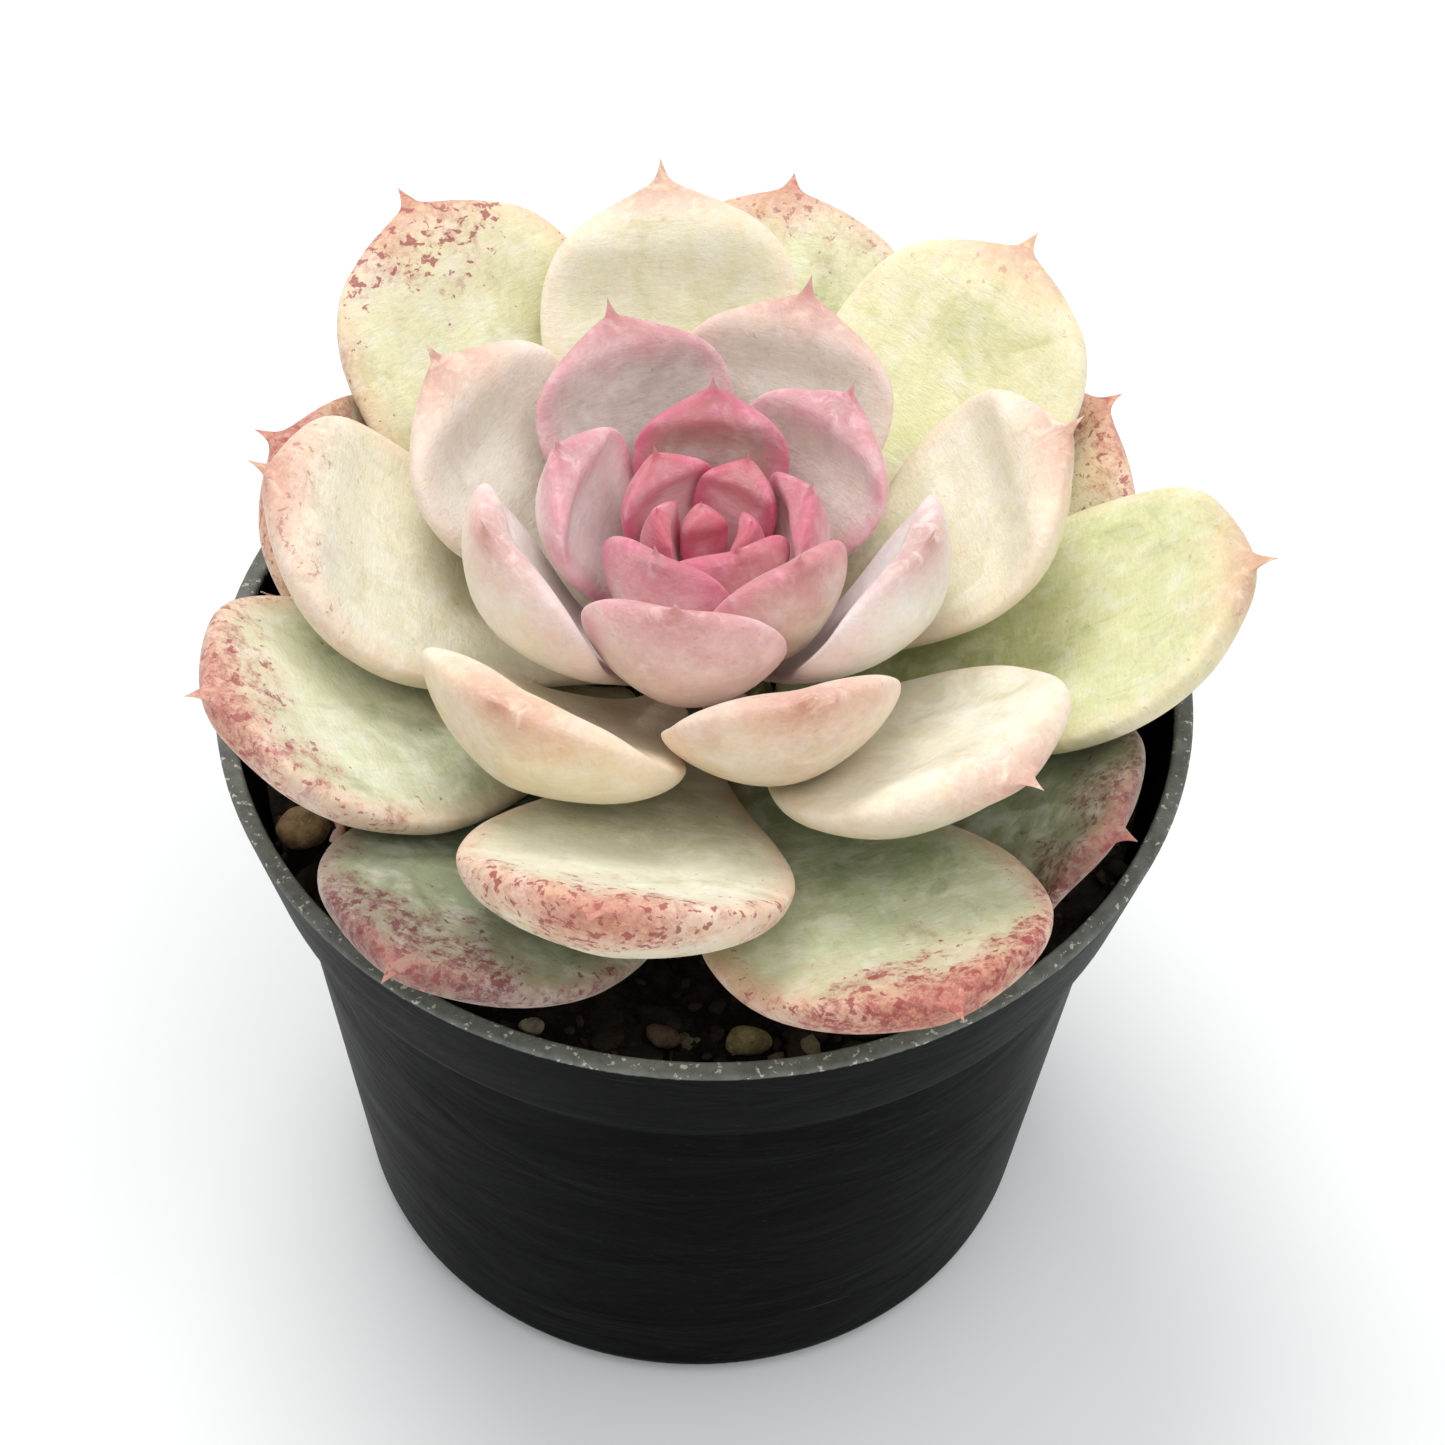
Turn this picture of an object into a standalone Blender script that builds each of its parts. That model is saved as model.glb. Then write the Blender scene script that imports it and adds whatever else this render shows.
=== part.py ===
"""A potted rosette succulent: a moulded nursery pot, its soil, and a stem that carries the leaves.

Sizes are in millimetres and become metres when the meshes are made. The origin is the centre of the
pot's base, +Z is up, and the side that is usually shown faces -Y.
"""
import math

import bmesh
import bpy
import numpy as np
from mathutils import Vector
from mathutils.bvhtree import BVHTree

MM = 0.001

# ---- pot ----
POT_HEIGHT = 68.0
RIM_RADIUS = 45.0          # outer edge of the rim
RIM_WIDTH = 1.7            # flat ring on top of the wall
LIP_DEPTH = 12.5           # height of the straight band under the rim
LIP_TAPER = 2.8            # how much the band narrows downwards
STEP_IN = 2.4              # how far the body stands in under the band
STEP_HEIGHT = 3.5
FOOT_RADIUS = 34.5         # body radius just above the rounded foot
FOOT_ROUND = 3.2
WALL = 1.1
FLOOR = 1.6
HOLE_COUNT = 6
HOLE_DIAMETER = 5.0
HOLE_CIRCLE = 16.0
POT_STEPS = 56

# ---- soil and stem ----
GAP = 0.3                  # clearance between touching pieces
SOIL_BELOW_RIM = 8.0
SOIL_BUMP = 0.7
STEM_FOOT_RADIUS = 7.4     # stem radius at the lowest leaf
STEM_TOP_RADIUS = 1.1
STEM_ROOT_DEPTH = 9.0      # how far the stem goes down into the soil
SOIL_TO_FIRST_LEAF = 2.8   # height of the lowest leaf base above the soil
STEM_LEAFY_HEIGHT = 14.4   # from the lowest leaf base to the bud's base

# ---- rosette ----
LEAF_COUNT = 42
GOLDEN_ANGLE = 137.5
FIRST_AZIMUTH = 112.0
BUD_ABOVE_RIM = 20.4
LEAF_WIDTH = 30.0          # widest leaves
LEAF_THICKNESS = 6.4       # thickest leaves
PRESSED = 0.4              # most of its thickness that a leaf loses under the leaves above it
LEAST_AIR = 0.2            # and the least that is left anywhere
LEAF_GAP = 0.45            # air kept between overlapping leaves
POINT_BEND = 35.0          # degrees that a leaf's stiff point turns away from the bud

soil_top = POT_HEIGHT - SOIL_BELOW_RIM
leaf_foot = soil_top + SOIL_TO_FIRST_LEAF
bud_top = POT_HEIGHT + BUD_ABOVE_RIM

# Every leaf follows the laws further down; these are its own small irregularities, by leaf number
# counted from the bud: (turn in degrees, reach in mm, rise of the tip in mm, roll in degrees).
OWN = {
    0: (-3, 0, -1.2, 0), 1: (14, 0, 0, 0), 2: (-18, 0, 0, 0), 3: (5, 1.5, 0, 0), 4: (12, -0.8, 0.6, 0),
    5: (-16, 0.5, 0, 0), 6: (6, 0, 0, 0), 7: (9, -1.5, 0.5, 4), 8: (-1, 1.5, 0, 0), 9: (-6, -0.5, 1, 0),
    10: (-13, 0, 0, 0), 11: (6, 1, -0.5, 0), 12: (0, -0.5, 2.2, 0), 13: (-9, 2.5, 0, 0),
    14: (-13, -1.5, 3, 0), 15: (-2, -3, 3, 0), 16: (0, 0, -0.5, 0), 17: (-7, 0.5, 2.8, 0),
    18: (-6, -1.5, 0, 0), 19: (-8, -0.5, 1.5, 0), 20: (-3, -2, 1.5, 0), 21: (-6, 3, 0.5, 0),
    22: (-15, 1, -3, 0), 23: (-9, -2.5, 0, 0), 24: (-3, 0, 0, 0), 25: (-14, 1.5, 0, 0),
    26: (-8, 0.5, 0, 0), 27: (-4.5, 0, 0.5, 0), 28: (-16, -2, -1, 0), 29: (-2, 1, -1, 0),
    30: (-13, 1, 0, 0), 31: (-8, -8, 1, 0), 32: (0, -7.5, 1, 0), 33: (-13, 0, 0, 0),
    34: (-8, -3, 0, 0), 35: (-16, -6, 0, 0), 36: (-21, -12, -1, 0), 37: (-4, -4, 0, 0),
    39: (-8, -5, 0, 0), 40: (-4, -5, 0, 0), 41: (-14, -12, 2, 0),
}
SHED = (38, 39, 40)               # leaves that have dropped off
WIDER = {0: 0.85, 4: 1.35, 12: 0.96, 17: 0.93}   # leaves that are wider or narrower than the law
WIDTHS = ((0, 0.17), (3, 0.27), (5, 0.35), (7, 0.44), (10, 0.54), (12, 0.62), (15, 0.68), (20, 0.81),
          (25, 0.93), (30, 0.97), (41, 0.92))      # share of LEAF_WIDTH by leaf number
FLATTER = {22: (12, 22)}          # degrees taken off the dip and the curl of a leaf that lies flatter

# Stones on the soil: azimuth in degrees, distance in from the pot's wall, length, width and height in
# millimetres, and turn in degrees.
PEBBLES = (
    (203.8, 2.6, 5.2, 4.2, 3.6, 30), (277.8, 4.8, 4.2, 2.8, 2.6, 10), (266.2, 5.4, 3.4, 2.2, 1.9, -20),
    (248.8, 3.5, 2.2, 1.7, 1.5, 0), (38.4, 4.7, 4.6, 3.8, 3.0, 70), (123.3, 5.2, 3.6, 3.0, 2.4, 120),
)

STATIONS = (0.0, 0.15, 0.31, 0.46, 0.59, 0.70, 0.80, 0.88, 0.94, 0.98)
AROUND = 12                # points of a leaf's cross-section


def ramp(x, *keys):
    """Straight lines through (x, value) pairs."""
    return float(np.interp(x, [k[0] for k in keys], [k[1] for k in keys]))


def ease(x):
    x = min(max(x, 0.0), 1.0)
    return x * x * (3 - 2 * x)


def stem_radius(u):
    """Radius of the stem where leaf u sits, from 0 at the bud to 1 at the lowest leaf."""
    return STEM_TOP_RADIUS + (STEM_FOOT_RADIUS - STEM_TOP_RADIUS) * math.sqrt(max(u, 0.0))


def stem_height(u):
    """Height of the stem's surface there."""
    return leaf_foot + STEM_LEAFY_HEIGHT * (1 - u) ** 1.25


def leaf_law(n):
    """The sizes of leaf n."""
    u = n / (LEAF_COUNT - 1)
    turn, reach, rise, roll = OWN.get(n, (0, 0, 0, 0))
    size = LEAF_WIDTH / 30.0
    flatter_dip, flatter_curl = FLATTER.get(n, (0, 0))
    tip_r = ramp(n, (0, 2.5), (5, 7.5), (10, 14), (15, 24), (20, 34), (25, 45), (30, 50), (41, 49))
    tip_z = ramp(n, (0, 0), (5, 1), (9, 3.6), (13, 4.5), (22, 4.2), (26, 3), (30, -6), (35, -9), (41, -12))
    return {
        "azimuth": math.radians(FIRST_AZIMUTH - GOLDEN_ANGLE * n + turn),
        "base": (stem_radius(u) + GAP * ramp(u, (0, 0), (0.3, 1)), stem_height(u) + GAP),
        "tip": ((tip_r + reach) * size, bud_top + tip_z + rise),
        "width": LEAF_WIDTH * WIDER.get(n, 1) * ramp(n, *WIDTHS),
        "thickness": LEAF_THICKNESS
                     * ramp(n, (0, 0.4), (8, 0.58), (16, 0.77), (24, 1), (30, 0.95), (41, 0.66)),
        "base_width": ramp(n, (0, 1.8), (8, 3.4), (20, 4.4), (41, 5.0)),
        "base_thickness": ramp(n, (0, 0.8), (12, 1.2), (41, 1.5)),
        "dip": math.radians(ramp(n, (0, 6), (10, 20), (20, 20), (30, 12), (41, 4)) - flatter_dip),
        "curl": math.radians(ramp(n, (0, 14), (8, 40), (14, 44), (20, 42), (26, 22), (34, 13), (41, 8))
                             - flatter_curl),
        "cup": ramp(n, (0, 0.5), (8, 0.42), (14, 0.4), (20, 0.3), (24, 0.12), (41, 0.06)),
        "crown": ramp(n, (0, 0.46), (18, 0.52), (22, 0.38), (25, 0.32), (41, 0.3)),
        "tip_crown": ramp(n, (0, 0.6), (8, 0.8), (21, 0.8), (25, 0.4), (41, 0.35)),
        "roll": math.radians(roll),
        "point": ramp(n, (0, 0.7), (8, 1.5), (20, 2.3)),
    }


def leaf_columns(n):
    """Upper and lower points of leaf n, station by station and from edge to edge, its tip point, and the
    direction that faces away from the bud. Each lower point lies under the upper point of its column."""
    law = leaf_law(n)
    a = law["azimuth"]
    out = np.array((math.cos(a), math.sin(a), 0.0))
    side = np.array((-math.sin(a), math.cos(a), 0.0))
    up = np.array((0.0, 0.0, 1.0))
    p0, p1 = np.array(law["base"]), np.array(law["tip"])
    chord = p1 - p0
    length = float(np.hypot(*chord))
    lean = math.atan2(chord[1], chord[0])
    m0 = length * np.array((math.cos(lean - law["dip"]), math.sin(lean - law["dip"])))
    m1 = length * np.array((math.cos(lean + law["curl"]), math.sin(lean + law["curl"])))

    def midrib(s):
        p = (2 * s**3 - 3 * s**2 + 1) * p0 + (s**3 - 2 * s**2 + s) * m0
        p = p + (3 * s**2 - 2 * s**3) * p1 + (s**3 - s**2) * m1
        d = (6 * s**2 - 6 * s) * (p0 - p1) + (3 * s**2 - 4 * s + 1) * m0 + (3 * s**2 - 2 * s) * m1
        return p, d / np.hypot(*d)

    widest = 0.64
    top, low = [], []
    half = AROUND // 2
    for s in STATIONS:
        p, d = midrib(s)
        x = max(0.0, (s - widest) / (1 - widest))
        grow = ease(s / widest) ** 0.9
        w = 0.5 * (law["base_width"] + (law["width"] - law["base_width"]) * grow) * math.sqrt(1 - x**2.6)
        w *= 1 - 0.45 * max(0.0, (x - 0.72) / 0.28) ** 2
        t = law["base_thickness"] + (law["thickness"] - law["base_thickness"]) * ease(s / 0.6)
        t *= (1 - x**4) ** 0.5
        crown = law["crown"] + (law["tip_crown"] - law["crown"]) * ease((s - 0.7) / 0.25)
        normal = -d[1] * out + d[0] * up
        roll = law["roll"] * s
        across = side * math.cos(roll) + normal * math.sin(roll)
        normal = normal * math.cos(roll) - side * math.sin(roll)
        centre = p[0] * out + p[1] * up
        row_t, row_l = [], []
        for k in range(half + 1):
            v = math.cos(math.pi * k / half)
            full = math.sin(math.pi * k / half) ** 0.85 if 0 < k < half else 0.0
            lift = law["cup"] * w * v * v * ease(s / 0.5)
            at = centre + across * (w * v) + normal * lift
            row_t.append(at + normal * (crown * t * full))
            row_l.append(at - normal * ((1 - crown) * t * full))
        top.append(row_t)
        low.append(row_l)
    p, d = midrib(1.0)
    bend = math.radians(POINT_BEND)
    way = math.cos(bend) * (d[0] * out + d[1] * up) - math.sin(bend) * (d[0] * up - d[1] * out)
    point = (p[0] * out + p[1] * up) + law["point"] * way
    away = (chord[1] * out - chord[0] * up) / length
    return np.array(top), np.array(low), point, away


def leaf_faces(rows, cols):
    """Corner numbers of the triangles that loft the rings, close the base and meet at the tip."""
    ring = 2 * (cols - 1)
    faces = [[0, k + 1, k] for k in range(1, ring - 1)]
    for r in range(rows - 1):
        for k in range(ring):
            a, b = r * ring + k, r * ring + (k + 1) % ring
            if k % (cols - 1) < (cols - 1) / 2:
                faces += [[a, b, b + ring], [a, b + ring, a + ring]]
            else:
                faces += [[a, b, a + ring], [b, b + ring, a + ring]]
    last = (rows - 1) * ring
    for k in range(ring):
        faces.append([last + k, last + (k + 1) % ring, rows * ring])
    return faces


def leaf_points(top, low, point):
    """One ring per station: the upper points from one edge to the other, then the lower ones back."""
    rings = [list(t) + list(b[-2:0:-1]) for t, b in zip(top, low)]
    return [p for ring in rings for p in ring] + [point]


def push_needed(tree, top, away, gap):
    """How far each column must move away from the bud to pass under the leaves already in place."""
    need = np.full(top.shape[:2], -99.0)
    reach = 90.0
    d = Vector(away)
    for i in range(top.shape[0]):
        for j in range(top.shape[1]):
            start = Vector(top[i, j]) - reach * d
            gone, last = 0.0, None
            while True:
                hit, _, _, dist = tree.ray_cast(start + gone * d, d, reach + 40.0 - gone)
                if hit is None:
                    break
                gone += dist + 0.001
                last = gone
            if last is not None:
                need[i, j] = last - reach + gap
    return need


def spread(need):
    """A smooth push that is nowhere less than what is needed, and dies out towards the stem."""
    push = np.maximum(need, 0.0)
    for _ in range(6):
        pad = np.pad(push, 1, mode="edge")
        mean = (pad[:-2, 1:-1] + pad[2:, 1:-1] + pad[1:-1, :-2] + pad[1:-1, 2:] + 2 * pad[1:-1, 1:-1]) / 6
        mean[0] = 0.0
        push = np.maximum(mean, need)
    return np.maximum(push, 0.0)


def to_tree(points, faces):
    return BVHTree.FromPolygons([Vector(p) for p in points], faces, epsilon=0.0)


def grow_leaves():
    """Places the leaves from the bud outwards. A leaf that would meet an inner one is bent away from it."""
    placed_points, placed_faces, trees, leaves = [], [], [], []
    for n in range(LEAF_COUNT):
        if n in SHED:
            continue
        top, low, point, away = leaf_columns(n)
        faces = leaf_faces(len(STATIONS), AROUND // 2 + 1)
        gap = LEAF_GAP
        for _ in range(14):
            if placed_points:
                tree = to_tree(placed_points, placed_faces)
                push = spread(push_needed(tree, top, away, gap))
            else:
                push = np.zeros(top.shape[:2])
            t2 = top + push[:, :, None] * away
            l2 = low + push[:, :, None] * away + (top - low) * np.minimum(PRESSED, 0.12 * push)[:, :, None]
            p2 = point + push[-1].mean() * away
            points = leaf_points(t2, l2, p2)
            probe = to_tree(leaf_points(t2 - LEAST_AIR * away, l2, p2 - LEAST_AIR * away), faces)
            if not any(probe.overlap(other) for other in trees):
                break
            gap += 0.2
        trees.append(to_tree(points, faces))
        base = len(placed_points)
        placed_points += points
        placed_faces += [[base + k for k in f] for f in faces]
        leaves.append((n, points, faces))
    return leaves


# ---- Blender helpers ----
for old in list(bpy.data.objects):
    bpy.data.objects.remove(old, do_unlink=True)

PARTS = bpy.data.collections.new("potted_succulent")
CUTTERS = bpy.data.collections.new("cutters")
for c in (PARTS, CUTTERS):
    bpy.context.scene.collection.children.link(c)


def material(name, colour, roughness, metallic=0.0):
    m = bpy.data.materials.new(name)
    m.use_nodes = True
    shader = m.node_tree.nodes["Principled BSDF"]
    shader.inputs["Base Color"].default_value = (*colour, 1.0)
    shader.inputs["Roughness"].default_value = roughness
    shader.inputs["Metallic"].default_value = metallic
    return m


def add(name, mesh, mat, collection=PARTS):
    obj = bpy.data.objects.new(name, mesh)
    collection.objects.link(obj)
    mesh.materials.append(mat)
    return obj


def lathe(profile, steps, name):
    """A mesh turned about Z from (radius, height) pairs, in millimetres."""
    mesh = bpy.data.meshes.new(name)
    bm = bmesh.new()
    verts = [bm.verts.new((r * MM, 0, z * MM)) for r, z in profile]
    for a, b in zip(verts, verts[1:]):
        bm.edges.new((a, b))
    bmesh.ops.spin(bm, geom=bm.verts[:] + bm.edges[:], cent=(0, 0, 0), axis=(0, 0, 1),
                   angle=2 * math.pi, steps=steps, use_merge=True)
    bmesh.ops.remove_doubles(bm, verts=bm.verts[:], dist=0.00001)
    bmesh.ops.recalc_face_normals(bm, faces=bm.faces[:])
    bm.to_mesh(mesh)
    bm.free()
    return mesh


def round_corner(a, b, c, radius, steps=3):
    """Points of an arc that rounds the corner at b of a profile."""
    a, b, c = (np.array(p, float) for p in (a, b, c))
    u, v = (a - b) / np.linalg.norm(a - b), (c - b) / np.linalg.norm(c - b)
    half = 0.5 * math.acos(float(np.clip(u @ v, -1, 1)))
    centre = b + (u + v) / np.linalg.norm(u + v) * radius / math.sin(half)
    s, e = b + u * radius / math.tan(half), b + v * radius / math.tan(half)
    a0, a1 = (math.atan2(*(p - centre)[::-1]) for p in (s, e))
    turn = (a1 - a0 + math.pi) % (2 * math.pi) - math.pi
    angles = [a0 + turn * k / steps for k in range(steps + 1)]
    return [tuple(centre + radius * np.array((math.cos(a), math.sin(a)))) for a in angles]


# ---- pot ----
band_bottom = POT_HEIGHT - LIP_DEPTH
body_top = band_bottom - STEP_HEIGHT
band_radius = RIM_RADIUS - LIP_TAPER
body_radius = band_radius - STEP_IN


def body_at(z):
    """Outer radius of the tapered body at height z."""
    return FOOT_RADIUS + (body_radius - FOOT_RADIUS) * z / body_top


inner_rim = RIM_RADIUS - RIM_WIDTH
outer = [(RIM_RADIUS, POT_HEIGHT), (band_radius, band_bottom), (body_radius, body_top)]
foot = round_corner(outer[-1], (FOOT_RADIUS, 0), (0, 0), FOOT_ROUND, 4)
pot_profile = [(0, FLOOR), (body_at(FLOOR) - WALL - 2.5, FLOOR), (body_at(FLOOR + 3) - WALL, FLOOR + 3)]
pot_profile += [(body_radius - WALL, body_top), (band_radius - WALL - 0.3, band_bottom)]
pot_profile += [(inner_rim - 0.2, POT_HEIGHT - 1.2), (inner_rim, POT_HEIGHT - 0.25)]
pot_profile += [(inner_rim + 0.25, POT_HEIGHT), (RIM_RADIUS - 0.3, POT_HEIGHT)]
pot_profile += [(RIM_RADIUS, POT_HEIGHT - 0.3), (band_radius + 0.1, band_bottom + 0.9)]
pot_profile += [(band_radius - 0.35, band_bottom - 0.6), (body_radius + 0.25, body_top + 0.7)]
pot_profile += [(body_radius - 0.05, body_top - 0.5)] + foot
pot_profile += [(0, 0)]
pot = add("pot", lathe(pot_profile, POT_STEPS, "pot"), material("pot_plastic", (0.025, 0.025, 0.027), 0.5))
for k in range(HOLE_COUNT):
    angle = 2 * math.pi * (k + 0.5) / HOLE_COUNT
    bm = bmesh.new()
    bmesh.ops.create_cone(bm, cap_ends=True, segments=12, radius1=HOLE_DIAMETER / 2 * MM,
                          radius2=HOLE_DIAMETER / 2 * MM, depth=4 * FLOOR * MM)
    mesh = bpy.data.meshes.new(f"drain_cut_{k + 1}")
    bm.to_mesh(mesh)
    bm.free()
    cutter = bpy.data.objects.new(mesh.name, mesh)
    CUTTERS.objects.link(cutter)
    cutter.location = (HOLE_CIRCLE * MM * math.cos(angle), HOLE_CIRCLE * MM * math.sin(angle), 0)
    cutter.hide_render = True
    cutter.display_type = "WIRE"
    cut = pot.modifiers.new(f"drain_{k + 1}", "BOOLEAN")
    cut.operation, cut.solver, cut.object = "DIFFERENCE", "EXACT", cutter

# ---- soil: fills the pot, with a socket for the stem ----


def ground(x, y):
    """Height of the uneven soil surface."""
    wave = math.sin(0.31 * x + 1.3) * math.cos(0.27 * y - 0.4) + 0.6 * math.sin(0.73 * x - 0.51 * y)
    return soil_top + SOIL_BUMP * 0.6 * wave


def inner_at(z):
    """Inner radius of the pot at height z."""
    radii = [body_at(FLOOR + 3) - WALL, body_radius - WALL, band_radius - WALL - 0.3, inner_rim - 0.2]
    return float(np.interp(z, [FLOOR + 3, body_top, band_bottom, POT_HEIGHT - 1.2], radii))


stem_foot = soil_top - STEM_ROOT_DEPTH
socket = STEM_FOOT_RADIUS * 0.9 + GAP
soil_edge = inner_at(soil_top - 1.5) - GAP - 0.1
soil_profile = [(0, stem_foot - GAP), (socket, stem_foot - GAP), (socket, soil_top)]
rings = 7
soil_profile += [(socket + (soil_edge - socket) * k / rings, soil_top) for k in range(1, rings + 1)]
soil_profile += [(soil_edge, soil_top - 2.0), (inner_at(band_bottom) - GAP - 0.1, band_bottom)]
soil_profile += [(inner_at(body_top) - GAP - 0.1, body_top), (inner_at(FLOOR + 3) - GAP - 0.1, FLOOR + 3.3)]
soil_profile += [(inner_at(FLOOR + 3) - 3.2, FLOOR + GAP), (0, FLOOR + GAP)]
soil_mesh = lathe(soil_profile, 40, "soil")
for vert in soil_mesh.vertices:
    if abs(vert.co.z / MM - soil_top) < 0.01:
        vert.co.z = ground(vert.co.x / MM, vert.co.y / MM) * MM
soil = add("soil", soil_mesh, material("potting_mix", (0.035, 0.024, 0.017), 0.95))

# ---- stem ----
stem_profile = [(0, leaf_foot + STEM_LEAFY_HEIGHT)]
for k in range(0, 11):
    u = k / 10
    inset = GAP * ease(u * 3) + (0.45 if k == 0 else 0)
    stem_profile.append((stem_radius(u) - inset, stem_height(u) - 0.05))
stem_profile += [(STEM_FOOT_RADIUS * 0.9, leaf_foot - 1.5), (STEM_FOOT_RADIUS * 0.9, stem_foot + 1.5)]
stem_profile += [(STEM_FOOT_RADIUS * 0.75, stem_foot), (0, stem_foot)]
stem = add("stem", lathe(stem_profile, 20, "stem"), material("stem_bark", (0.25, 0.22, 0.12), 0.7))

# ---- leaves ----
for k, (n, points, faces) in enumerate(grow_leaves()):
    bm = bmesh.new()
    verts = [bm.verts.new(Vector(p) * MM) for p in points]
    for f in faces:
        bm.faces.new([verts[i] for i in f])
    bmesh.ops.recalc_face_normals(bm, faces=bm.faces[:])
    mesh = bpy.data.meshes.new(f"leaf_{k + 1:02d}")
    bm.to_mesh(mesh)
    bm.free()
    mesh.shade_smooth()
    age = n / (LEAF_COUNT - 1)
    green = ease(age * 2.2)
    colour = (0.72 - 0.22 * green, 0.30 + 0.20 * green, 0.30 - 0.04 * green)
    add(mesh.name, mesh, material(f"{mesh.name}_skin", colour, 0.5))

# ---- stones lying on the soil ----
for k, (azimuth, from_wall, long, wide, high, turn) in enumerate(PEBBLES):
    reach = inner_at(soil_top) - from_wall
    x, y = reach * math.cos(math.radians(azimuth)), reach * math.sin(math.radians(azimuth))
    c, s = math.cos(math.radians(turn)), math.sin(math.radians(turn))
    bm = bmesh.new()
    bmesh.ops.create_icosphere(bm, subdivisions=2, radius=0.5)
    for vert in bm.verts:
        q = vert.co
        knob = 1 + 0.10 * math.sin(5 * q.x + 2 * k) * math.cos(4 * q.y - k)
        knob += 0.06 * math.sin(7 * q.z + 3 * k)
        px, py = q.x * long * knob, q.y * wide * knob
        vert.co = Vector((c * px - s * py, s * px + c * py, q.z * high * knob)) * MM
    floor_z = max(ground(x + 0.3 * long * i, y + 0.3 * long * j) for i in (-1, 0, 1) for j in (-1, 0, 1))
    lowest = min(vert.co.z for vert in bm.verts)
    mesh = bpy.data.meshes.new(f"pebble_{k + 1}")
    bm.to_mesh(mesh)
    bm.free()
    mesh.shade_smooth()
    shade = (0.55 - 0.05 * k, 0.45 - 0.05 * k, 0.30 - 0.03 * k)
    stone = add(mesh.name, mesh, material(f"stone_{k + 1}", shade, 0.9))
    stone.location = (x * MM, y * MM, (floor_z + GAP) * MM - lowest)
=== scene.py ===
# %% [markdown]
# # A rosette succulent in a nursery pot
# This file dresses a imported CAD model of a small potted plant. The real thing is a living rosette of
# thick, waxy leaves that grow in a spiral, in a thin black plastic pot with dark gritty soil.
# The CAD model holds the true sizes and places. Here every piece gets its fine shape and its skin,
# all of it made with mesh operators and shader nodes.

# %% Load the frame and keep its box
import math
import random

import bmesh
import bpy
import numpy as np
from mathutils import Matrix, Vector, noise
from mathutils.bvhtree import BVHTree


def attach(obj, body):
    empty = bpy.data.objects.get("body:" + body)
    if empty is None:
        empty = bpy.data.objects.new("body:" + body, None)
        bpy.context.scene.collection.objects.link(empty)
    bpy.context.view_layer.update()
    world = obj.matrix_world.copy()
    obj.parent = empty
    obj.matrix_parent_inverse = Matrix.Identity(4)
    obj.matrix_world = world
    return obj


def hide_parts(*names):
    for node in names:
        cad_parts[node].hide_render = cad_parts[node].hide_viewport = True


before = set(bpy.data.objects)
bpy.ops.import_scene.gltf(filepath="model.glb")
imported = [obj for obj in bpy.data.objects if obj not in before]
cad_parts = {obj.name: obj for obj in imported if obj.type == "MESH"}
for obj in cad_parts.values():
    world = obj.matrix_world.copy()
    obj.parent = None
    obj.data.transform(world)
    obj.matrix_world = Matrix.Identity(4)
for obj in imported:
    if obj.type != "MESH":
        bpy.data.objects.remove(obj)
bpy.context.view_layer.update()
mm = 0.001
leaf_nodes = sorted(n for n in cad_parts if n.startswith("leaf_"))
pebble_nodes = sorted(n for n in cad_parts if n.startswith("pebble_"))
print("nodes:", len(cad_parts), "leaves:", len(leaf_nodes), "stones:", len(pebble_nodes))

# %% [markdown]
# ## Camera, floor and light
# The plant is looked down on at about 50 degrees, from a hand's distance with a long lens, so the far
# leaves look nearly as large as the near ones. The camera is set by its three axes: one points back to
# the camera, one to the right, and the third follows from them. A small roll about its own line of
# sight is added last. The light is soft and comes from all round, as on a cloudy day near a window.

# %% Camera
look_at = Vector((1.72, 0.0, 61.0)) * mm
distance = 309.3 * mm
elevation = math.radians(49.45)
back = Vector((0, -math.cos(elevation), math.sin(elevation)))
right = Vector((1, 0, 0))
camera = bpy.data.objects.new("camera", bpy.data.cameras.new("camera"))
bpy.context.scene.collection.objects.link(camera)
camera.data.lens = 82.2
camera.data.sensor_width = 36.0
camera.data.clip_start = 0.01
turn = Matrix((right, back.cross(right), back)).transposed().to_4x4()
turn.translation = look_at + distance * back
camera.matrix_world = turn @ Matrix.Rotation(math.radians(2.11), 4, "Z")
bpy.context.scene.camera = camera
bpy.context.scene.view_settings.view_transform = "Standard"
print("camera at", [round(v, 4) for v in camera.matrix_world.translation])


# %% Soft lights and a pale world
def soft_light(name, place, aim, size, power, colour=(1, 1, 1)):
    light = bpy.data.lights.new(name, "AREA")
    light.shape, light.size, light.energy, light.color = "DISK", size, power, colour
    lamp = bpy.data.objects.new(name, light)
    bpy.context.scene.collection.objects.link(lamp)
    lamp.location = place
    lamp.rotation_euler = (Vector(aim) - Vector(place)).to_track_quat("-Z", "Y").to_euler()
    return lamp


middle = (0, 0, 0.07)
soft_light("window", (-0.15, 0.30, 0.75), middle, 0.40, 2.9, (1.0, 0.99, 0.97))
soft_light("sky", (0.25, -0.25, 0.9), middle, 0.7, 1.6)
world = bpy.data.worlds.new("pale_room")
bpy.context.scene.world = world
world.use_nodes = True
world.node_tree.nodes["Background"].inputs["Color"].default_value = (0.95, 0.97, 1.0, 1)
world.node_tree.nodes["Background"].inputs["Strength"].default_value = 0.85

# %% [markdown]
# ## Shader maths as plain expressions
# A material is a graph of nodes. Writing it as Python reads better than wiring boxes: a `Wire` holds
# one output, and `a * b + 1` on wires adds the Math nodes. `Recipe.node` makes any other node.


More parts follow.
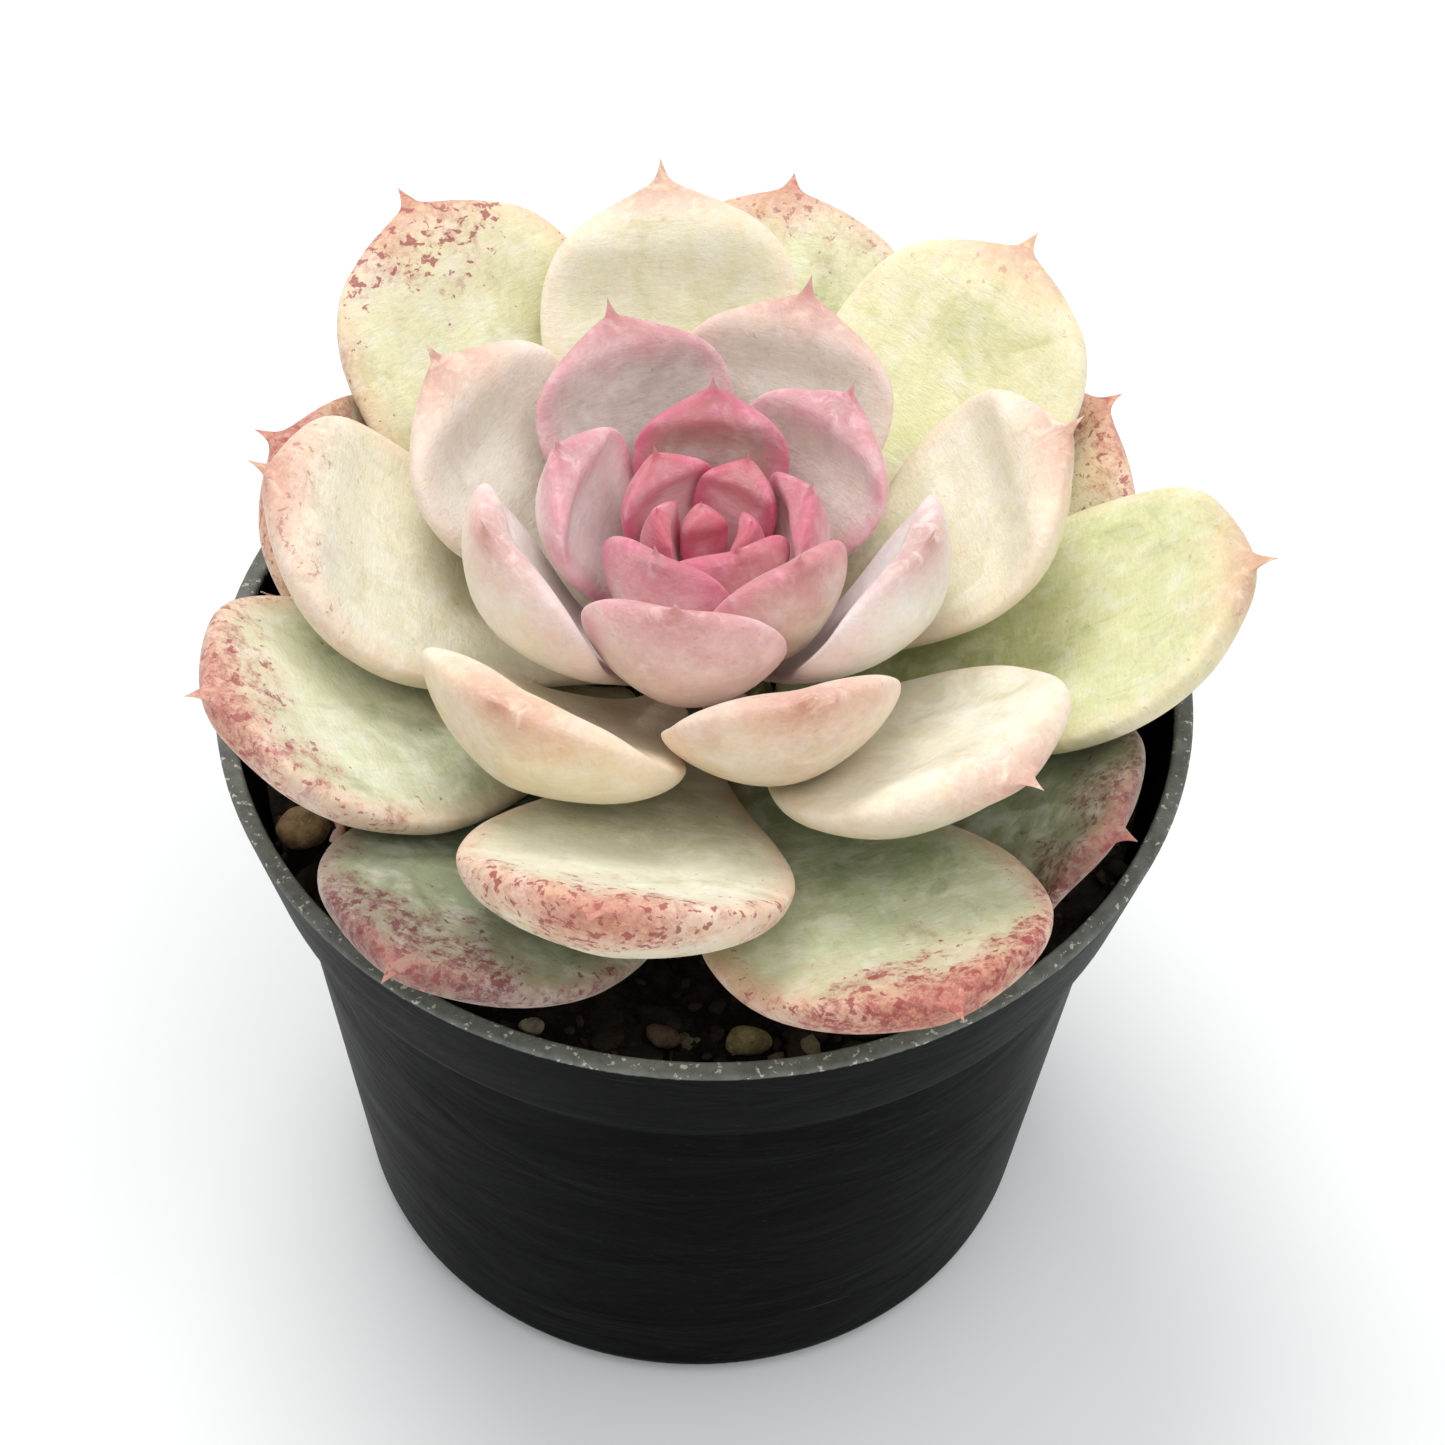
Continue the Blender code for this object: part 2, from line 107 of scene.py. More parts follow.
# %% Wires and recipes
class Wire:
    """One output of a node. Arithmetic on wires adds Math nodes."""

    def __init__(self, recipe, out):
        self.recipe, self.out = recipe, out

    def _do(self, operation, a, b):
        return self.recipe.node("ShaderNodeMath", {"operation": operation}, {0: a, 1: b})

    def __add__(self, other):
        return self._do("ADD", self, other)

    def __sub__(self, other):
        return self._do("SUBTRACT", self, other)

    def __mul__(self, other):
        return self._do("MULTIPLY", self, other)

    def __rsub__(self, other):
        return self._do("SUBTRACT", other, self)

    def most(self, other):
        return self._do("MAXIMUM", self, other)

    def least(self, other):
        return self._do("MINIMUM", self, other)

    __radd__, __rmul__ = __add__, __mul__


class Recipe:
    """A Principled material under construction."""

    def __init__(self, name):
        self.material = bpy.data.materials.new(name)
        self.material.use_nodes = True
        self.tree = self.material.node_tree
        self.shader = self.tree.nodes["Principled BSDF"]

    def node(self, kind, settings=(), inputs=(), out=0):
        """A node of any kind: its settings first, then values or wires for its sockets."""
        made = self.tree.nodes.new(kind)
        for key, value in dict(settings).items():
            setattr(made, key, value)
        for key, value in dict(inputs).items():
            self.plug(made.inputs[key], value)
        return Wire(self, made.outputs[out])

    def plug(self, socket, value):
        if isinstance(value, Wire):
            self.tree.links.new(value.out, socket)
        elif hasattr(value, "__len__") and socket.type == "RGBA":
            socket.default_value = (*value[:3], 1)
        else:
            socket.default_value = value

    def place(self):
        """Object coordinates, in millimetres."""
        spot = self.node("ShaderNodeTexCoord", out="Object")
        return self.node("ShaderNodeVectorMath", {"operation": "SCALE"}, {0: spot, "Scale": 1000.0})

    def field(self, name, out="Fac"):
        """A value stored on the mesh."""
        return self.node("ShaderNodeAttribute", {"attribute_name": name}, out=out)

    def stretch(self, vector, by):
        return self.node("ShaderNodeVectorMath", {"operation": "MULTIPLY"}, {0: vector, 1: by})

    def grain(self, vector, scale, detail=3.0, rough=0.5, bend=0.0):
        """Noise between 0 and 1, about `scale` bumps to the millimetre."""
        inputs = {"Vector": vector, "Scale": scale, "Detail": detail, "Roughness": rough}
        return self.node("ShaderNodeTexNoise", {}, {**inputs, "Distortion": bend})

    def fade(self, value, low, high):
        """0 below low and 1 above high, with a soft step; low may be the larger."""
        inputs = {"Value": value, "From Min": min(low, high), "From Max": max(low, high)}
        step = self.node("ShaderNodeMapRange", {"interpolation_type": "SMOOTHSTEP"}, inputs)
        return step if low < high else 1 - step

    def blend(self, share, a, b):
        """Colour a where share is 0, colour b where it is 1."""
        return self.node("ShaderNodeMix", {"data_type": "RGBA"}, {0: share, 6: a, 7: b}, out=2)

    def bump(self, height, strength, depth):
        inputs = {"Height": height, "Strength": strength, "Distance": depth * mm}
        return self.node("ShaderNodeBump", {}, inputs)

    def finish(self, colour=None, roughness=None, normal=None, **constants):
        for key, value in (("Base Color", colour), ("Roughness", roughness), ("Normal", normal)):
            if value is not None:
                self.plug(self.shader.inputs[key], value)
        for key, value in constants.items():
            self.plug(self.shader.inputs[key.replace("_", " ")], value)
        return self.material


# %% The floor
floor_skin = Recipe("paper_floor")
floor_noise = floor_skin.grain(floor_skin.place(), 0.02, 2.0)
floor_colour = floor_skin.blend(floor_noise, (0.86, 0.86, 0.85), (0.9, 0.9, 0.89))
floor_skin.finish(floor_colour, 0.8)
floor_shape = bmesh.new()
bmesh.ops.create_grid(floor_shape, x_segments=1, y_segments=1, size=3.0)
floor_mesh = bpy.data.meshes.new("floor")
floor_shape.to_mesh(floor_mesh)
floor_shape.free()
floor = bpy.data.objects.new("floor", floor_mesh)
bpy.context.scene.collection.objects.link(floor)
floor_mesh.materials.append(floor_skin.material)

# %% [markdown]
# ## From a shape to a finished piece
# Every piece of the plant takes the same last steps: its faces are turned outwards, it gets its
# material and smooth shading, it rides on the model's one body, and the CAD nodes it stands for are hidden.


# %% Finish a piece
def finish_piece(name, shape, material, nodes=(), levels=0, close=True):
    if close:
        bmesh.ops.remove_doubles(shape, verts=shape.verts[:], dist=0.000001)
        bmesh.ops.recalc_face_normals(shape, faces=shape.faces[:])
    mesh = bpy.data.meshes.new(name)
    shape.to_mesh(mesh)
    shape.free()
    mesh.shade_smooth()
    mesh.materials.append(material)
    piece = bpy.data.objects.new(name, mesh)
    bpy.context.scene.collection.objects.link(piece)
    if levels:
        smooth = piece.modifiers.new("smooth", "SUBSURF")
        smooth.levels = smooth.render_levels = levels
    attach(piece, "root")
    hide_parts(*nodes)
    return piece


def turned(profile, steps):
    """A shape spun about the pot's axis from (radius, height) pairs in millimetres."""
    shape = bmesh.new()
    points = [shape.verts.new((r * mm, 0, z * mm)) for r, z in profile]
    lines = [shape.edges.new(pair) for pair in zip(points, points[1:])]
    bmesh.ops.spin(shape, geom=points + lines, cent=(0, 0, 0), axis=(0, 0, 1),
                   angle=2 * math.pi, steps=steps, use_merge=True)
    bmesh.ops.remove_doubles(shape, verts=shape.verts[:], dist=0.00001)
    bmesh.ops.recalc_face_normals(shape, faces=shape.faces[:])
    return shape


# %% [markdown]
# ## The pot
# The real pot is moulded from thin black polypropylene: a tapered body, a small step, a straight band
# that leans outwards, and a narrow flat rim. It could be cut from a cone, but a wall section spun
# round the axis gives the inside and the outside at once. The corners are bevelled afterwards, since a
# moulded edge is never sharp, and the drain holes are cut last.

# %% Sizes of the pot, in millimetres
pot_height, rim_radius, rim_width = 68.0, 45.0, 1.7
band_height, band_taper, step_height, step_depth = 12.5, 2.8, 3.5, 2.4
band_bottom, band_radius = pot_height - band_height, rim_radius - band_taper
body_top, body_radius, foot_radius = band_bottom - step_height, band_radius - step_depth, 34.5
wall, base_depth, foot_height = 1.1, 1.6, 4.6
inner_rim = rim_radius - rim_width


def body_at(z):
    return foot_radius + (body_radius - foot_radius) * z / body_top


def inner_at(z):
    """Inner radius of the pot at height z."""
    heights = [foot_height, body_top, band_bottom, pot_height - 1.2]
    radii = [body_at(foot_height) - wall, body_radius - wall, band_radius - wall - 0.3, inner_rim - 0.2]
    return float(np.interp(z, heights, radii))


# %% Spin the wall and round its edges
inside = [(0, base_depth), (body_at(base_depth) - wall - 2.5, base_depth)]
inside += [(inner_at(z), z) for z in (foot_height, body_top, band_bottom)] + [(inner_rim, pot_height)]
outside = [(rim_radius, pot_height), (band_radius, band_bottom), (body_radius, body_top)]
outside += [(foot_radius, 0), (0, 0)]
pot_shape = turned(inside + outside, 160)


def soften(shape, height, radius, offset, segments):
    """Round the ring of edges at that height and about that radius."""
    def on_ring(vert):
        level = abs(vert.co.z - height * mm) < 1e-5
        return level and abs(math.hypot(vert.co.x, vert.co.y) - radius * mm) < 4e-5

    ring = [e for e in shape.edges if all(on_ring(v) for v in e.verts)]
    bmesh.ops.bevel(shape, geom=ring, offset=offset * mm, affect="EDGES", segments=segments,
                    profile=0.5, material=-1)


soften(pot_shape, pot_height, rim_radius, 0.42, 4)
soften(pot_shape, pot_height, inner_rim, 0.35, 3)
soften(pot_shape, band_bottom, band_radius, 0.7, 4)
soften(pot_shape, band_bottom, inner_at(band_bottom), 0.7, 3)
soften(pot_shape, body_top, body_radius, 0.8, 4)
soften(pot_shape, body_top, inner_at(body_top), 0.8, 3)
soften(pot_shape, 0, foot_radius, 3.0, 7)
print("pot wall:", len(pot_shape.faces), "faces")

# %% Cut the drain holes
hole_count, hole_circle, hole_radius = 6, 16.0, 2.5
punch = bmesh.new()
for k in range(hole_count):
    angle = 2 * math.pi * (k + 0.5) / hole_count
    spot = Matrix.Translation((hole_circle * mm * math.cos(angle), hole_circle * mm * math.sin(angle), 0))
    bmesh.ops.create_cone(punch, cap_ends=True, segments=28, radius1=hole_radius * mm,
                          radius2=hole_radius * mm, depth=8 * mm, matrix=spot)


def carve(shape, tool):
    """The shape with the tool's volume taken away."""
    blocks = []
    for name, part in (("blank", shape), ("punch", tool)):
        mesh = bpy.data.meshes.new(name)
        part.to_mesh(mesh)
        part.free()
        blocks.append(bpy.data.objects.new(name, mesh))
        bpy.context.scene.collection.objects.link(blocks[-1])
    cut = blocks[0].modifiers.new("cut", "BOOLEAN")
    cut.operation, cut.solver, cut.object = "DIFFERENCE", "EXACT", blocks[1]
    bpy.context.view_layer.update()
    solid = blocks[0].evaluated_get(bpy.context.evaluated_depsgraph_get())
    result = bmesh.new()
    result.from_mesh(solid.to_mesh())
    solid.to_mesh_clear()
    for block in blocks:
        mesh = block.data
        bpy.data.objects.remove(block, do_unlink=True)
        bpy.data.meshes.remove(mesh)
    return result


pot_shape = carve(pot_shape, punch)
print("pot with holes:", len(pot_shape.faces), "faces")

# %% [markdown]
# The plastic is dull black, but a pot that has stood on a bench isn't clean: potting dust lies on it,
# the rim is rubbed grey and speckled with grit, and handling leaves fine scratches. All of that lives
# in the colour and the roughness, and only the scratches and the moulding texture in the bump.

# %% Dusty black plastic
plastic = Recipe("pot_plastic")
spot = plastic.place()
height = plastic.node("ShaderNodeSeparateXYZ", {}, {0: spot}, out="Z")
cloud = plastic.grain(spot, 0.06, 5, 0.62)
streak = plastic.grain(plastic.stretch(spot, (0.35, 0.35, 0.045)), 1.0, 4, 0.6)
fleck = plastic.grain(spot, 1.6, 2, 0.5)
hair = plastic.grain(plastic.stretch(spot, (0.05, 0.05, 1.6)), 1.0, 3, 0.7)
scuff = plastic.fade(hair, 0.64, 0.72) * plastic.fade(cloud, 0.56, 0.68)
on_rim = plastic.fade(height + (fleck - 0.5) * 0.4, pot_height - 0.75, pot_height - 0.4)
dust = plastic.fade(cloud, 0.54, 0.80) * 0.5 * plastic.fade(streak, 0.42, 0.70)
dust = dust + plastic.fade(fleck + cloud * 0.12, 0.74, 0.79) * 0.9
colour = plastic.blend(dust.least(1.0) * 0.05, (0.0012, 0.0013, 0.0015), (0.26, 0.25, 0.23))
colour = plastic.blend(scuff * 0.22, colour, (0.30, 0.31, 0.32))
rim_wear = plastic.fade(plastic.grain(spot, 0.55, 5, 0.7), 0.3, 0.75)
colour = plastic.blend(on_rim * (rim_wear * 0.35 + 0.5), colour, (0.24, 0.245, 0.22))
rim_grit = on_rim * plastic.fade(plastic.grain(spot, 1.4, 3, 0.6), 0.60, 0.66)
colour = plastic.blend(rim_grit * 0.75, colour, (0.66, 0.63, 0.56))
rough = cloud * 0.22 + dust * 0.2 + scuff * 0.15 + 0.28 + on_rim * 0.25
skin = plastic.grain(spot, 3.0, 3, 0.6)
dent = plastic.grain(plastic.stretch(spot, (0.05, 0.05, 0.14)), 1.0, 3, 0.5, 0.5)
normal = plastic.bump(skin * 0.4 + scuff * 0.8 + cloud * 1.5 + dent * 6, 0.4, 0.15)
pot_skin = plastic.finish(colour, rough, normal, Specular_IOR_Level=0.015)

# %% The finished pot
pot = finish_piece("nursery_pot", pot_shape, pot_skin, ["pot"])
even = pot.modifiers.new("even_shading", "WEIGHTED_NORMAL")
even.weight = 60
print("pot:", len(pot.data.polygons), "faces")

# %% [markdown]
# ## Soil and grit
# The mix in the pot is dark, dry and crumbly: peat, bark and fine grit. The bed is one closed body that
# fills the pot, with enough rings on top for the lumps to be real shape. Crumbs a millimetre or two
# across lie in it, each a knocked-about icosahedron with a size, a stretch and a turn of its own.

# %% The soil bed, and the stem that stands in it
clearance, soil_gap, bed_rings = 0.3, 0.4, 78
crown_radius, bud_radius, stem_rise = 7.4, 1.1, 14.4
soil_top = pot_height - 8.0
leaf_foot = soil_top + 2.8
stem_end = soil_top - 9.0
neck = crown_radius * 0.9
socket = neck + clearance


def ground(x, y):
    """Height of the uneven soil surface, as in the CAD model."""
    wave = math.sin(0.31 * x + 1.3) * math.cos(0.27 * y - 0.4) + 0.6 * math.sin(0.73 * x - 0.51 * y)
    return soil_top + 0.42 * wave


soil_edge = inner_at(soil_top - 1.5) - soil_gap
bed = [(0, stem_end - clearance), (socket, stem_end - clearance), (socket, soil_top)]
bed += [(socket + (soil_edge - socket) * k / bed_rings, soil_top) for k in range(1, bed_rings + 1)]
bed += [(soil_edge, soil_top - 2)] + [(inner_at(z) - soil_gap, z) for z in (band_bottom, body_top)]
bed += [(inner_at(foot_height) - soil_gap, foot_height + clearance)]
bed += [(inner_at(foot_height) - 3.2, base_depth + clearance), (0, base_depth + clearance)]
soil_shape = turned(bed, 250)
for vert in soil_shape.verts:
    x, y, z = vert.co / mm
    if abs(z - soil_top) < 0.01:
        lump = noise.noise(Vector((x, y, 0)) * 0.22) * 0.9 + noise.noise(Vector((x, y, 7)) * 0.6) * 0.7
        crumb = noise.noise(Vector((x, y, 3)) * 1.5) * 0.45
        vert.co.z = (ground(x, y) + lump + crumb - 0.1) * mm
print("soil:", len(soil_shape.faces), "faces")

# %% Dark potting mix
mix = Recipe("potting_mix")
spot = mix.place()
lumps, crumbs = mix.grain(spot, 0.35, 6, 0.7), mix.grain(spot, 1.7, 5, 0.7)
colour = mix.blend(mix.fade(lumps, 0.35, 0.7), (0.008, 0.0055, 0.004), (0.034, 0.022, 0.014))
colour = mix.blend(mix.fade(crumbs, 0.6, 0.75) * 0.6, colour, (0.09, 0.062, 0.038))
normal = mix.bump(crumbs + lumps * 2, 0.8, 0.5)
soil_skin = mix.finish(colour, crumbs * 0.2 + 0.78, normal, Specular_IOR_Level=0.2)
finish_piece("soil", soil_shape, soil_skin, ["soil"])

# %% Crumbs of bark, peat and grit
chance = random.Random(12)
grit_shape = bmesh.new()
shade = grit_shape.verts.layers.float.new("shade")
crumb_count, nearest, furthest = 1500, 12.0, 41.2
for _ in range(crumb_count):
    reach = math.sqrt(chance.uniform(nearest**2, furthest**2))
    a = chance.uniform(0, 2 * math.pi)
    x, y = reach * math.cos(a), reach * math.sin(a)
    size = 0.35 + 1.0 * chance.random() ** 3
    stretch = Vector((chance.uniform(0.8, 1.9), chance.uniform(0.7, 1.1), chance.uniform(0.5, 0.9)))
    spin = Matrix.Rotation(chance.uniform(0, 6.28), 4, "Z")
    spin = spin @ Matrix.Rotation(chance.uniform(-0.5, 0.5), 4, "X")
    place = Matrix.Translation(Vector((x, y, ground(x, y) + size * 0.15)) * mm)
    made = bmesh.ops.create_icosphere(grit_shape, subdivisions=1, radius=size * mm,
                                      matrix=place @ spin @ Matrix.Diagonal((*stretch, 1)))
    tone = chance.random()
    for vert in made["verts"]:
        vert.co += Vector([chance.uniform(-0.18, 0.18) * size * mm for _ in range(3)])
        vert[shade] = tone
print("grit:", len(grit_shape.faces), "faces")

# %% Grit colours: mostly bark and peat, a few pale grains
grit = Recipe("grit")
spot = grit.place()
tone = grit.field("shade")
speck = grit.grain(spot, 2.4, 4, 0.7)
colour = grit.blend(grit.fade(tone, 0.0, 0.7), (0.010, 0.007, 0.005), (0.045, 0.028, 0.018))
colour = grit.blend(grit.fade(tone, 0.955, 0.97), colour, (0.30, 0.24, 0.15))
colour = grit.blend(grit.fade(tone, 0.985, 0.99), colour, (0.5, 0.46, 0.38))
colour = grit.blend(grit.fade(speck, 0.45, 0.7) * 0.4, colour, (0.02, 0.015, 0.01))
normal = grit.bump(speck, 0.6, 0.2)
grit_skin = grit.finish(colour, speck * 0.2 + 0.72, normal, Specular_IOR_Level=0.25)
finish_piece("grit", grit_shape, grit_skin, close=False).data.shade_flat()

# %% [markdown]
# ## Loose stones
# Six larger stones lie on the soil. Each starts as a merged copy of its CAD body, which fixes its
# place and size. Cutting every edge, smoothing, and pushing the points by noise gives the worn but
# uneven face of a real pebble.

# %% Pebbles
pebble_tints = [(0.42, 0.27, 0.13), (0.40, 0.31, 0.13), (0.16, 0.10, 0.06),
                (0.52, 0.43, 0.30), (0.3, 0.22, 0.14), (0.2, 0.15, 0.1)]


def stone_material(name, tint, seed):
    stone = Recipe(name)
    shift = (seed * 17.0, seed * 5.0, 0)
    at = stone.node("ShaderNodeVectorMath", {"operation": "ADD"}, {0: stone.place(), 1: shift})
    patch, speck = stone.grain(at, 0.5, 6, 0.65), stone.grain(at, 3.5, 4, 0.7)
    dark, pale = [c * 0.4 for c in tint], [min(1, c * 1.7) for c in tint]
    colour = stone.blend(stone.fade(patch, 0.35, 0.65), dark, tint)
    colour = stone.blend(stone.fade(speck, 0.58, 0.7) * 0.7, colour, pale)
    colour = stone.blend(stone.fade(speck, 0.42, 0.34) * 0.6, colour, dark)
    normal = stone.bump(patch * 2 + speck, 0.7, 0.25)
    return stone.finish(colour, patch * 0.25 + 0.65, normal, Specular_IOR_Level=0.3)


for k, node in enumerate(pebble_nodes):
    shape = bmesh.new()
    shape.from_mesh(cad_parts[node].data)
    bmesh.ops.remove_doubles(shape, verts=shape.verts[:], dist=0.00001)
    bmesh.ops.subdivide_edges(shape, edges=shape.edges[:], cuts=2, use_grid_fill=True, smooth=0.6)
    for _ in range(2):
        bmesh.ops.smooth_vert(shape, verts=shape.verts[:], factor=0.4,
                              use_axis_x=True, use_axis_y=True, use_axis_z=True)
    shape.normal_update()
    for vert in shape.verts:
        bumpy = noise.noise(vert.co / mm * 0.8 + Vector((k * 9, 0, 0))) * 0.22
        bumpy += noise.noise(vert.co / mm * 2.2) * 0.08
        vert.co += vert.normal * bumpy * mm
    stone_skin = stone_material(f"stone_{k + 1}", pebble_tints[k], k)
    finish_piece(f"stone_{k + 1}", shape, stone_skin, [node], levels=1)
print("stones:", len(pebble_nodes))

# %% [markdown]
# ## The stem
# The leaves sit on a short, stout stem, which shows only in glimpses. Old leaves leave ring-shaped
# scars on it, so its section is spun and then pushed in and out along a spiral of scars.


# %% Stem with leaf scars
def ramp(x, *keys):
    """Straight lines through (x, value) pairs."""
    return float(np.interp(x, [k[0] for k in keys], [k[1] for k in keys]))


def ease(x):
    x = min(max(x, 0.0), 1.0)
    return x * x * (3 - 2 * x)


def stem_radius(u):
    """Radius of the stem where leaf u sits, from 0 at the bud to 1 at the lowest leaf."""
    return bud_radius + (crown_radius - bud_radius) * math.sqrt(max(u, 0.0))


def stem_height(u):
    return leaf_foot + stem_rise * (1 - u) ** 1.25


section = [(0, leaf_foot + stem_rise)]
section += [(stem_radius(u) - 0.3 * ease(u * 3) - (0.45 if u == 0 else 0), stem_height(u) - 0.05)
            for u in (k / 30 for k in range(31))]
section += [(neck, z) for z in np.linspace(leaf_foot - 1.5, stem_end + 1.5, 14)]
section += [(crown_radius * 0.75, stem_end), (0, stem_end)]
stem_shape = turned(section, 72)
for vert in stem_shape.verts:
    x, y, z = vert.co / mm
    r = math.hypot(x, y)
    if r > 2 and z > stem_end + 1:
        scar = 0.12 * math.sin(z * 3.1 + math.atan2(y, x) * 3) + 0.12 * noise.noise(Vector((x, y, z)) * 0.9)
        vert.co.xy *= 1 + (scar - 0.2) / r
bark = Recipe("stem_bark")
spot = bark.place()
ring = bark.grain(bark.stretch(spot, (0.3, 0.3, 1.6)), 1.0, 5, 0.65)
speck = bark.grain(spot, 1.8, 4, 0.6)
colour = bark.blend(bark.fade(ring, 0.35, 0.65), (0.10, 0.075, 0.04), (0.27, 0.25, 0.13))
colour = bark.blend(bark.fade(speck, 0.6, 0.75) * 0.5, colour, (0.06, 0.04, 0.025))
normal = bark.bump(ring + speck, 0.6, 0.3)
bark_skin = bark.finish(colour, speck * 0.2 + 0.6, normal, Specular_IOR_Level=0.3)
finish_piece("plant_stem", stem_shape, bark_skin, ["stem"])

# %% [markdown]
# ## How a rosette leaf is laid out
# Leaves grow one by one round the stem, each turned about 137.5 degrees from the last, so they never
# stand in rows. Number 0 is the innermost. A leaf is described by its width, thickness and a curved
# midrib that dips, runs out and curls up. Hand-placing 39 leaves would lose that order, so each one
# follows the same laws of its number, with a small turn, reach and rise of its own.

# %% Each leaf's own irregularities: turn in degrees, reach and rise in millimetres, roll in degrees
own = {
    0: (-3, 0, -1.2, 0), 1: (14, 0, 0, 0), 2: (-18, 0, 0, 0), 3: (5, 1.5, 0, 0),
    4: (12, -0.8, 0.6, 0), 5: (-16, 0.5, 0, 0), 6: (6, 0, 0, 0), 7: (9, -1.5, 0.5, 4),
    8: (-1, 1.5, 0, 0), 9: (-6, -0.5, 1, 0), 10: (-13, 0, 0, 0), 11: (6, 1, -0.5, 0),
    12: (0, -0.5, 2.2, 0), 13: (-9, 2.5, 0, 0), 14: (-13, -1.5, 3, 0), 15: (-2, -3, 3, 0),
    16: (0, 0, -0.5, 0), 17: (-7, 0.5, 2.8, 0), 18: (-6, -1.5, 0, 0), 19: (-8, -0.5, 1.5, 0),
    20: (-3, -2, 1.5, 0), 21: (-6, 3, 0.5, 0), 22: (-15, 1, -3, 0), 23: (-9, -2.5, 0, 0),
    24: (-3, 0, 0, 0), 25: (-14, 1.5, 0, 0), 26: (-8, 0.5, 0, 0), 27: (-4.5, 0, 0.5, 0),
    28: (-16, -2, -1, 0), 29: (-2, 1, -1, 0), 30: (-13, 1, 0, 0), 31: (-8, -8, 1, 0),
    32: (0, -7.5, 1, 0), 33: (-13, 0, 0, 0), 34: (-8, -3, 0, 0), 35: (-16, -6, 0, 0),
    36: (-21, -12, -1, 0), 37: (-4, -4, 0, 0), 41: (-14, -12, 2, 0),
}
wider = {0: 0.85, 4: 1.35, 12: 0.96, 17: 0.93}  # against the law of widths
widths = ((0, 0.17), (3, 0.27), (5, 0.35), (7, 0.44), (10, 0.54), (12, 0.62), (15, 0.68), (20, 0.81),
          (25, 0.93), (30, 0.97), (41, 0.92))
flatter = {22: (12, 22)}  # degrees off the dip and off the curl
bud_top = pot_height + 20.4
first_azimuth, golden_angle, last_place = 112.0, 137.5, 41
leaf_width, leaf_thickness = 30.0, 6.4


def leaf_law(n):
    """The sizes of leaf n, in millimetres and radians."""
    u = n / last_place
    turn, reach, rise, roll = own[n]
    tip_r = ramp(n, (0, 2.5), (5, 7.5), (10, 14), (15, 24), (20, 34), (25, 45), (30, 50), (41, 49))
    tip_z = ramp(n, (0, 0), (5, 1), (9, 3.6), (13, 4.5), (22, 4.2), (26, 3), (30, -6), (35, -9), (41, -12))
    less_dip, less_curl = flatter.get(n, (0, 0))
    thick = ramp(n, (0, 0.4), (8, 0.58), (16, 0.77), (24, 1), (30, 0.95), (41, 0.66))
    return {
        "azimuth": math.radians(first_azimuth - golden_angle * n + turn),
        "base": (stem_radius(u) + clearance * ramp(u, (0, 0), (0.3, 1)), stem_height(u) + clearance),
        "tip": (tip_r + reach, bud_top + tip_z + rise),
        "width": leaf_width * wider.get(n, 1) * ramp(n, *widths),
        "thickness": leaf_thickness * thick,
        "base_width": ramp(n, (0, 1.8), (8, 3.4), (20, 4.4), (41, 5.0)),
        "base_thickness": ramp(n, (0, 0.8), (12, 1.2), (41, 1.5)),
        "dip": math.radians(ramp(n, (0, 6), (10, 20), (20, 20), (30, 12), (41, 4)) - less_dip),
        "curl": math.radians(ramp(n, (0, 14), (8, 40), (14, 44), (20, 42), (26, 22), (34, 13), (41, 8))
                             - less_curl),
        "cup": ramp(n, (0, 0.5), (8, 0.42), (14, 0.4), (20, 0.3), (24, 0.12), (41, 0.06)),
        "crown": ramp(n, (0, 0.46), (18, 0.52), (22, 0.38), (25, 0.32), (41, 0.3)),
        "tip_crown": ramp(n, (0, 0.6), (8, 0.8), (21, 0.8), (25, 0.4), (41, 0.35)),
        "thin_edge": ramp(n, (0, 1.7), (12, 1.6), (20, 1.2), (24, 1)),
        "roll": math.radians(roll),
        "point": ramp(n, (0, 0.7), (8, 1.5), (20, 2.3)),
    }


# %% [markdown]
# ## From law to leaf
# A rosette leaf is a closed cushion: narrow where it clasps the stem, widest two thirds out, with a
# thin margin, and a small stiff point at the tip. A sphere already has that topology, with one pole
# for the base and one for the tip, so every leaf begins as a sphere whose rings become the leaf's
# cross-sections. The rings crowd towards the tip, where the outline turns fastest.

# %% Sections of a leaf, from base to tip
rings, around = 46, 32
half = around // 2
widest, point_root = 0.64, 1.2


